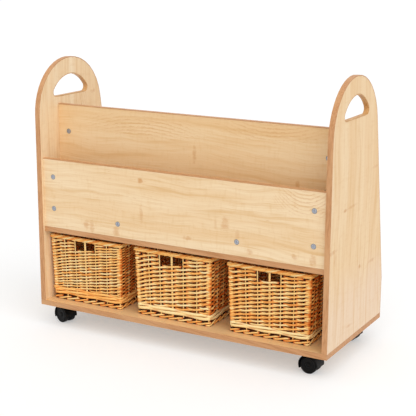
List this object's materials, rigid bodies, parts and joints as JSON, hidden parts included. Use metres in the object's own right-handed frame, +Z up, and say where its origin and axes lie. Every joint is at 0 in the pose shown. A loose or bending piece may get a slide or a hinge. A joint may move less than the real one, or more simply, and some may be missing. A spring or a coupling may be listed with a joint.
{
  "type": "mobile book storage unit with baskets",
  "caption": "Low mobile book storage unit with arched end panels, a front book pocket, rear book troughs and a bay of wicker baskets, on swivel castors.",
  "frame": {"origin": "on the floor, under the middle of the unit's outer box", "axes": "+X to the right along the unit's length seen from the front, +Y to the rear, +Z up; the front with the book pocket and the baskets faces -Y"},
  "size_m": [0.944, 0.4, 0.807],
  "materials": {
    "maple_board": "maple-effect melamine facing on board, satin, fine straight grain",
    "brown_edging": "warm brown plastic edging with a faint wood grain, satin",
    "zinc_cam": "zinc-plated die casting, dull",
    "wicker": "woven split willow and rattan, honey brown, lightly varnished",
    "black_nylon": "black moulded nylon, low sheen",
    "bright_steel": "zinc-plated pressed steel"
  },
  "bodies": {
    "unit": {"base_board": "maple_board", "left_end_panel": "maple_board", "right_end_panel": "maple_board", "basket_shelf": "maple_board", "front_book_panel": "maple_board", "book_divider": "maple_board", "rear_book_panel": "maple_board", "rear_trough_panel": "maple_board", "base_edge_band": "brown_edging", "left_end_edge_band": "brown_edging", "right_end_edge_band": "brown_edging", "left_hand_hole_band": "brown_edging", "right_hand_hole_band": "brown_edging", "shelf_edge_band": "brown_edging", "front_panel_edge_band": "brown_edging", "divider_edge_band": "brown_edging", "rear_panel_edge_band": "brown_edging", "rear_trough_edge_band": "brown_edging", "front_panel_cam_lock_1": "zinc_cam", "front_panel_cam_lock_2": "zinc_cam", "front_panel_cam_lock_3": "zinc_cam", "front_panel_cam_lock_4": "zinc_cam", "front_panel_cam_lock_5": "zinc_cam", "front_panel_cam_lock_6": "zinc_cam", "divider_cam_lock_1": "zinc_cam", "divider_cam_lock_2": "zinc_cam", "divider_cam_lock_3": "zinc_cam", "divider_cam_lock_4": "zinc_cam", "castor_plate_front_left": "bright_steel", "castor_plate_front_right": "bright_steel", "castor_plate_rear_left": "bright_steel", "castor_plate_rear_right": "bright_steel"},
    "left_basket": {"left_basket_body": "wicker", "left_basket_rim": "wicker", "left_basket_foot": "wicker"},
    "middle_basket": {"middle_basket_body": "wicker", "middle_basket_rim": "wicker", "middle_basket_foot": "wicker"},
    "right_basket": {"right_basket_body": "wicker", "right_basket_rim": "wicker", "right_basket_foot": "wicker"},
    "castor_front_left": {"castor_body_front_left": "black_nylon", "castor_axle_front_left": "bright_steel"},
    "wheel_inner_front_left": {"castor_wheel_inner_front_left": "black_nylon"},
    "wheel_outer_front_left": {"castor_wheel_outer_front_left": "black_nylon"},
    "castor_front_right": {"castor_body_front_right": "black_nylon", "castor_axle_front_right": "bright_steel"},
    "wheel_inner_front_right": {"castor_wheel_inner_front_right": "black_nylon"},
    "wheel_outer_front_right": {"castor_wheel_outer_front_right": "black_nylon"},
    "castor_rear_left": {"castor_body_rear_left": "black_nylon", "castor_axle_rear_left": "bright_steel"},
    "wheel_inner_rear_left": {"castor_wheel_inner_rear_left": "black_nylon"},
    "wheel_outer_rear_left": {"castor_wheel_outer_rear_left": "black_nylon"},
    "castor_rear_right": {"castor_body_rear_right": "black_nylon", "castor_axle_rear_right": "bright_steel"},
    "wheel_inner_rear_right": {"castor_wheel_inner_rear_right": "black_nylon"},
    "wheel_outer_rear_right": {"castor_wheel_outer_rear_right": "black_nylon"}
  },
  "joints": [
    {"name": "left_basket_pull", "type": "slide", "parent": "unit", "child": "left_basket", "axis": [0, -1, 0], "range_m": [0, 0.28]},
    {"name": "middle_basket_pull", "type": "slide", "parent": "unit", "child": "middle_basket", "axis": [0, -1, 0], "range_m": [0, 0.28]},
    {"name": "right_basket_pull", "type": "slide", "parent": "unit", "child": "right_basket", "axis": [0, -1, 0], "range_m": [0, 0.28]},
    {"name": "castor_swivel_front_left", "type": "hinge", "parent": "unit", "child": "castor_front_left", "pos_m": [-0.415, -0.143, 0.06], "axis": [0, 0, 1], "continuous": true},
    {"name": "wheel_spin_inner_front_left", "type": "hinge", "parent": "castor_front_left", "child": "wheel_inner_front_left", "pos_m": [-0.42645, -0.13939, 0.02479], "axis": [0.3007, 0.9537, 0], "continuous": true},
    {"name": "wheel_spin_outer_front_left", "type": "hinge", "parent": "castor_front_left", "child": "wheel_outer_front_left", "pos_m": [-0.42645, -0.13939, 0.02479], "axis": [0.3007, 0.9537, 0], "continuous": true},
    {"name": "castor_swivel_front_right", "type": "hinge", "parent": "unit", "child": "castor_front_right", "pos_m": [0.415, -0.143, 0.06], "axis": [0, 0, 1], "continuous": true},
    {"name": "wheel_spin_inner_front_right", "type": "hinge", "parent": "castor_front_right", "child": "wheel_inner_front_right", "pos_m": [0.40303, -0.14216, 0.02479], "axis": [0.0698, 0.9976, 0], "continuous": true},
    {"name": "wheel_spin_outer_front_right", "type": "hinge", "parent": "castor_front_right", "child": "wheel_outer_front_right", "pos_m": [0.40303, -0.14216, 0.02479], "axis": [0.0698, 0.9976, 0], "continuous": true},
    {"name": "castor_swivel_rear_left", "type": "hinge", "parent": "unit", "child": "castor_rear_left", "pos_m": [-0.415, 0.143, 0.06], "axis": [0, 0, 1], "continuous": true},
    {"name": "wheel_spin_inner_rear_left", "type": "hinge", "parent": "castor_rear_left", "child": "wheel_inner_rear_left", "pos_m": [-0.42674, 0.1455, 0.02479], "axis": [0.2079, 0.9781, 0], "continuous": true},
    {"name": "wheel_spin_outer_rear_left", "type": "hinge", "parent": "castor_rear_left", "child": "wheel_outer_rear_left", "pos_m": [-0.42674, 0.1455, 0.02479], "axis": [0.2079, 0.9781, 0], "continuous": true},
    {"name": "castor_swivel_rear_right", "type": "hinge", "parent": "unit", "child": "castor_rear_right", "pos_m": [0.415, 0.143, 0.06], "axis": [0, 0, 1], "continuous": true},
    {"name": "wheel_spin_inner_rear_right", "type": "hinge", "parent": "castor_rear_right", "child": "wheel_inner_rear_right", "pos_m": [0.40312, 0.14467, 0.02479], "axis": [0.1392, 0.9903, 0], "continuous": true},
    {"name": "wheel_spin_outer_rear_right", "type": "hinge", "parent": "castor_rear_right", "child": "wheel_outer_rear_right", "pos_m": [0.40312, 0.14467, 0.02479], "axis": [0.1392, 0.9903, 0], "continuous": true}
  ]
}
